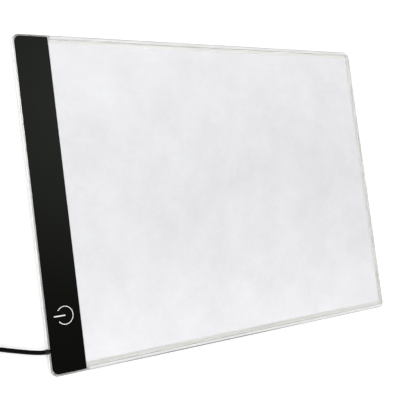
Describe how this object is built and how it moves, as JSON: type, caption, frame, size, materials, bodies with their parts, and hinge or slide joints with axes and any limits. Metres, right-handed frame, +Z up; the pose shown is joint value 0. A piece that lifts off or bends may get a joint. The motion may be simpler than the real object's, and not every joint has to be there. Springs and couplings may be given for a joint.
{
  "type": "led tracing pad",
  "caption": "Thin edge-lit tracing pad: white diffuser on a clear bevelled acrylic plate, black touch-switch strip along one side and a captive USB lead.",
  "frame": {"origin": "on the surface that the pad's feet stand on, under the middle of the pad without its cord", "axes": "+X along the pad's length, away from the black strip; +Y along its depth, away from the cord; +Z up, out of the lit face"},
  "size_m": [0.4271, 0.235, 0.0146],
  "materials": {
    "clear_acrylic": "polished clear acrylic",
    "white_diffuser": "frosted",
    "black_film": "satin",
    "white_reflector": "matt",
    "white_back": "fine matt",
    "black_rubber": "matt",
    "white_board": "solder mask",
    "tape": "adhesive tape",
    "led_package": "moulded package with phosphor",
    "green_board": "solder mask",
    "copper": "bare",
    "black_chip": "moulded",
    "tan_ceramic": "fired",
    "foam": "closed-cell foam",
    "red_wire": "insulation",
    "black_wire": "insulation",
    "black_cord": "satin flexible sheath",
    "black_moulding": "fine matt moulding",
    "plug_steel": "bright plated",
    "white_plug_filling": "moulded",
    "gold_contact": "plated"
  },
  "bodies": {
    "root": {"light_guide_plate": "clear_acrylic", "diffuser_film": "white_diffuser", "strip_film": "black_film", "reflector_film": "white_reflector", "back_sheet": "white_back", "rubber_feet": "black_rubber", "led_bar_board": "white_board", "led_bar_tape": "tape", "leds": "led_package", "control_board": "green_board", "touch_electrode": "copper", "touch_chip": "black_chip", "dimming_transistor": "black_chip", "chip_resistors": "black_chip", "chip_capacitors": "tan_ceramic", "foam_pads": "foam", "supply_wire_positive": "red_wire", "supply_wire_negative": "black_wire", "led_wire_positive": "red_wire", "led_wire_negative": "black_wire", "strain_relief": "black_moulding", "usb_cord": "black_cord", "usb_cord_coil": "black_cord", "usb_cord_tail": "black_cord", "coil_tie": "black_moulding", "plug_boot": "black_moulding", "plug_grip": "black_moulding", "plug_shell": "plug_steel", "plug_tongue": "white_plug_filling", "plug_contacts": "gold_contact"}
  },
  "joints": []
}
